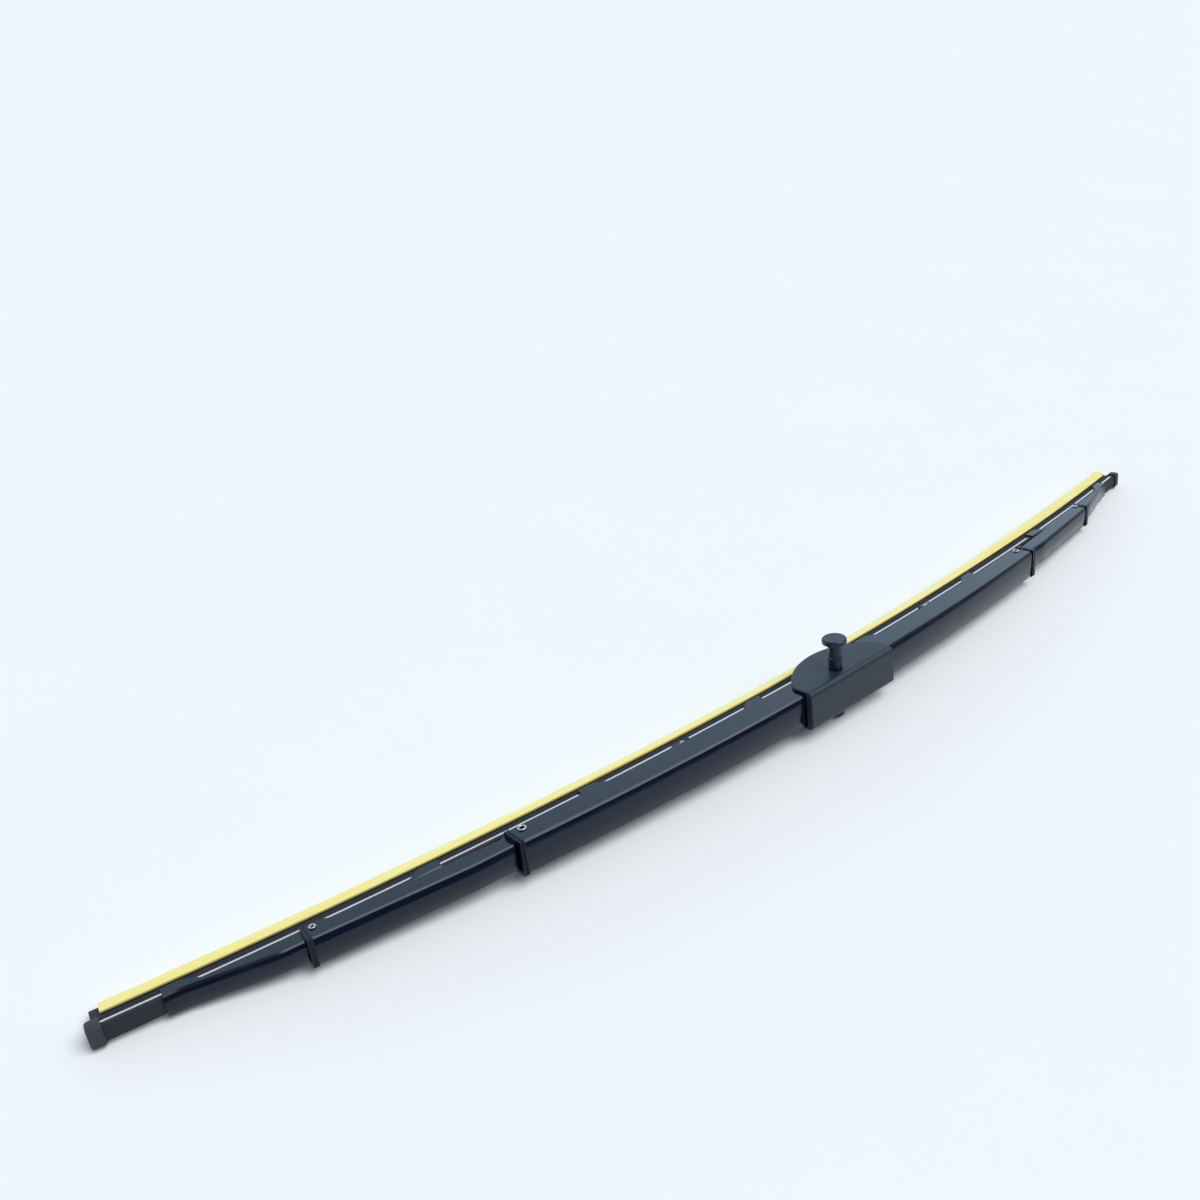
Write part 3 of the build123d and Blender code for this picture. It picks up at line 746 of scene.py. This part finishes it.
def layAlongBow(kind, points, endX, slot, node):
    section = sectionCurve(kind + "Section", points)
    bpy.context.scene.collection.objects.link(section)
    for spanName, span, firstBody, secondBody, side in lengths["spans"]:
        low, high = (leverStation, endX) if span == "outer" else (0.0, leverStation)
        x0, x1 = (low, high) if side > 0 else (-high, -low)
        a0, a1 = math.asin(x0 / bowRadius), math.asin(x1 / bowRadius)
        piece = plainMesh(kind + spanName, bowSweep, {
            sweepSizes["Radius"]: bowRadius,
            sweepSizes["Start"]: a0 - math.pi / 2,
            sweepSizes["Sweep"]: a1 - a0,
            sweepSizes["Steps"]: int((x1 - x0) / lengths["stepMm"]) + 1,
            sweepSizes["Middle"]: (0.0, bowCenter, 0.0),
            sweepSizes["Section"]: section,
            sweepSizes["Finish"]: finish[slot],
        })
        if spanName == "LeftInner":
            growSpigot(piece.data)
        if slot in lean["slots"]:
            leanOver(piece.data)
        piece.data.transform(bladeToRow)
        piece.data.set_sharp_from_angle(angle=math.radians(lengths["creaseDeg"]))
        for polygon in piece.data.polygons:
            polygon.use_smooth = True
        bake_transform(piece)
        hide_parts(node)
    bpy.data.objects.remove(section)


layAlongBow("rubber", softened(strip["side"] + mirrored(strip["side"]), strip["cornerMm"]),
            strip["endX"], "strip_rubber", "wiper_rubber")
layAlongBow("upperSpline", softened(spring["section"], spring["cornerMm"]),
            spring["endX"], "spline_steel", "upper_spline")
layAlongBow("lowerSpline", softened(mirrored(spring["section"]), spring["cornerMm"]),
            spring["endX"], "spline_steel", "lower_spline")
sleeveOutline = sleeve["side"] + mirrored(sleeve["side"]) + mirrored(sleeve["inside"]) + sleeve["inside"]
layAlongBow("sleeve", softened(sleeveOutline, sleeve["cornerMm"]),
            sleeve["endX"], "sleeve_plastic", "protective_sleeve")
print("strip laid along the bow")


# Rolled lips on the tubular rivets

rolledLip = {
    "bridge": (1.32, 0.40),  # radius and roll in mm
    "lever": (0.93, 0.37),
    "sinkMm": 0.12,  # below the tube's end
    "around": 32,
    "roll": 12,
}


def rivetLipTree():
    tree, sizes = newTree("rivetLips", {
        "Geometry": "Geometry", "Radius": "Float", "Roll": "Float", "Tilt": "Float", "Finish": "Material"})
    given = addNode(tree, "NodeGroupInput").outputs
    ring = addNode(tree, "GeometryNodeCurvePrimitiveCircle", {
        "Resolution": rolledLip["around"], "Radius": given["Radius"]})
    roll = addNode(tree, "GeometryNodeCurvePrimitiveCircle", {
        "Resolution": rolledLip["roll"], "Radius": given["Roll"]})
    lip = addNode(tree, "GeometryNodeCurveToMesh", {
        "Curve": ring.outputs["Curve"], "Profile Curve": roll.outputs["Curve"]})
    smooth = addNode(tree, "GeometryNodeSetShadeSmooth", {"Geometry": lip.outputs["Mesh"]})
    tilted = addNode(tree, "ShaderNodeCombineXYZ", {"X": given["Tilt"]})
    placed = addNode(tree, "GeometryNodeInstanceOnPoints", {
        "Points": given["Geometry"], "Instance": smooth.outputs["Geometry"],
        "Rotation": tilted.outputs["Vector"]})
    real = addNode(tree, "GeometryNodeRealizeInstances", {"Geometry": placed.outputs["Instances"]})
    finished = addNode(tree, "GeometryNodeSetMaterial", {
        "Geometry": real.outputs["Geometry"], "Material": given["Finish"]})
    addNode(tree, "NodeGroupOutput", {"Geometry": finished.outputs["Geometry"]})
    return tree, sizes


def rivetEnds(rivet):
    low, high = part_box(rivet)
    middle = (low + high) / 2
    reach = max((vertex.co - middle).dot(pinUp) for vertex in nodes[rivet].data.vertices)
    rise = pinUp * (reach - rolledLip["sinkMm"] * mm)
    return [middle + rise, middle - rise]


rivetLips, lipSizes = rivetLipTree()
for body in ("bridge", "left_lever", "right_lever"):
    ends = [point for name in nodes if name.endswith("_rivet") and nodes[name]["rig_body"] == body
            for point in rivetEnds(name)]
    spots = bpy.data.meshes.new("rivetSpots")
    spots.from_pydata(ends, [], [])
    radius, roll = rolledLip[body.split("_")[-1]]
    lips = plainMesh(body + "RivetLips", rivetLips, {
        lipSizes["Radius"]: radius * mm,
        lipSizes["Roll"]: roll * mm,
        lipSizes["Tilt"]: -math.asin(pinUp.y),
        lipSizes["Finish"]: finish["rivet_steel"],
    }, spots)
    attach(lips, body)
print("rivet lips rolled")


# Floor, light and camera

studio = {
    "floorColour": "#f4f7f7",
    "boardColour": "#f6f9f9",  # where the brush left it paler
    "floorRoughness": 0.75,
    "brushMm": 120.0,
    "floorSize": 40.0,  # m
    "roomStrength": 1.35,
    "horizonColour": "#d6eeff",  # pale bluish wall behind the blade
    "frontColour": "#535962",  # unlit side, in front of it
    "frontEdge": (-0.55, 0.15),  # how far to the front that side is full, and where it ends
    "ceilingColour": "#94979c",
    "ceilingEdge": (0.3, 0.6),  # sine of the elevation where the ceiling begins and is full
    "keyWay": (0.316, -0.284, 0.905),  # towards the soft light
    "keyWideDeg": 46.0,
    "keyPower": 1.8,
}


def studioFloor():
    # Painted board: plain, pale and dull, with a trace of brushing
    material, tree, shader = newMaterial("boardPainted")
    place = addNode(tree, "ShaderNodeTexCoord").outputs["Object"]
    brushed = addNode(tree, "ShaderNodeTexNoise", {
        "Vector": place, "Scale": perMetre(studio["brushMm"]), "Detail": 4.0})
    tint = addNode(tree, "ShaderNodeMix", {
        "Factor": brushed.outputs["Fac"],
        6: toLinear(studio["floorColour"]), 7: toLinear(studio["boardColour"])}, data_type="RGBA")
    tree.links.new(tint.outputs[2], shader.inputs["Base Color"])
    shader.inputs["Roughness"].default_value = studio["floorRoughness"]
    half = studio["floorSize"] / 2
    corners = [(-half, -half, 0), (half, -half, 0), (half, half, 0), (-half, half, 0)]
    mesh = bpy.data.meshes.new("floor")
    mesh.from_pydata(corners, [], [(0, 1, 2, 3)])
    mesh.materials.append(material)
    floor = bpy.data.objects.new("floor", mesh)
    bpy.context.scene.collection.objects.link(floor)


def studioLight():
    world = bpy.data.worlds.new("studio")
    bpy.context.scene.world = world
    world.use_nodes = True
    tree = world.node_tree
    tree.nodes.clear()
    sky = addNode(tree, "ShaderNodeTexCoord").outputs["Generated"]
    way = addNode(tree, "ShaderNodeSeparateXYZ", {"Vector": sky})
    low, high = studio["ceilingEdge"]
    height = addNode(tree, "ShaderNodeMapRange", {
        "Value": way.outputs["Z"], "From Min": low, "From Max": high}, interpolation_type="SMOOTHSTEP")
    low, high = studio["frontEdge"]
    depth = addNode(tree, "ShaderNodeMapRange", {
        "Value": way.outputs["Y"], "From Min": low, "From Max": high}, interpolation_type="SMOOTHSTEP")
    walls = addNode(tree, "ShaderNodeMix", {
        "Factor": depth.outputs["Result"],
        6: toLinear(studio["frontColour"]), 7: toLinear(studio["horizonColour"])}, data_type="RGBA")
    room = addNode(tree, "ShaderNodeMix", {
        "Factor": height.outputs["Result"],
        6: walls.outputs[2], 7: toLinear(studio["ceilingColour"])}, data_type="RGBA")
    glow = addNode(tree, "ShaderNodeBackground", {
        "Color": room.outputs[2], "Strength": studio["roomStrength"]})
    addNode(tree, "ShaderNodeOutputWorld", {"Surface": glow.outputs["Background"]})
    lamp = bpy.data.lights.new("key", "SUN")
    lamp.angle = math.radians(studio["keyWideDeg"])
    lamp.energy = studio["keyPower"]
    key = bpy.data.objects.new("key", lamp)
    key.rotation_euler = Vector(studio["keyWay"]).to_track_quat("Z", "Y").to_euler()
    bpy.context.scene.collection.objects.link(key)


camera = {
    "azimuthDeg": -41.741,  # from -Y, towards -X
    "elevationDeg": 34.16,
    "rollDeg": 2.826,
    "distanceMm": 511.357,
    "lookMm": (-38.264, 109.509),  # level with the pin's axis, before the blade is laid on the table
    "focalPx": 1100.819,
    "framePx": 1200,
    "sensorMm": 36.0,
    "nearMm": 10.0,
}


def photoCamera():
    azimuth, elevation, roll = (math.radians(camera[k]) for k in ("azimuthDeg", "elevationDeg", "rollDeg"))
    back = Vector((math.sin(azimuth) * math.cos(elevation), -math.cos(azimuth) * math.cos(elevation),
                   math.sin(elevation)))
    look = bladeOrigin + Vector((*camera["lookMm"], 0)) * mm
    right = (-back).cross(Vector((0, 0, 1))).normalized()
    up = right.cross(-back)
    right, up = right * math.cos(roll) + up * math.sin(roll), up * math.cos(roll) - right * math.sin(roll)
    lens = bpy.data.cameras.new("photoCamera")
    lens.sensor_width = camera["sensorMm"]
    lens.lens = camera["focalPx"] / camera["framePx"] * camera["sensorMm"]
    lens.clip_start = camera["nearMm"] * mm
    view = bpy.data.objects.new("photoCamera", lens)
    view.matrix_world = (Matrix.Translation(look + back * camera["distanceMm"] * mm)
                         @ Matrix((right, up, back)).transposed().to_4x4())
    bpy.context.scene.collection.objects.link(view)
    bpy.context.scene.camera = view


studioFloor()
studioLight()
photoCamera()
bpy.context.scene.view_settings.view_transform = "Standard"
print("studio set")
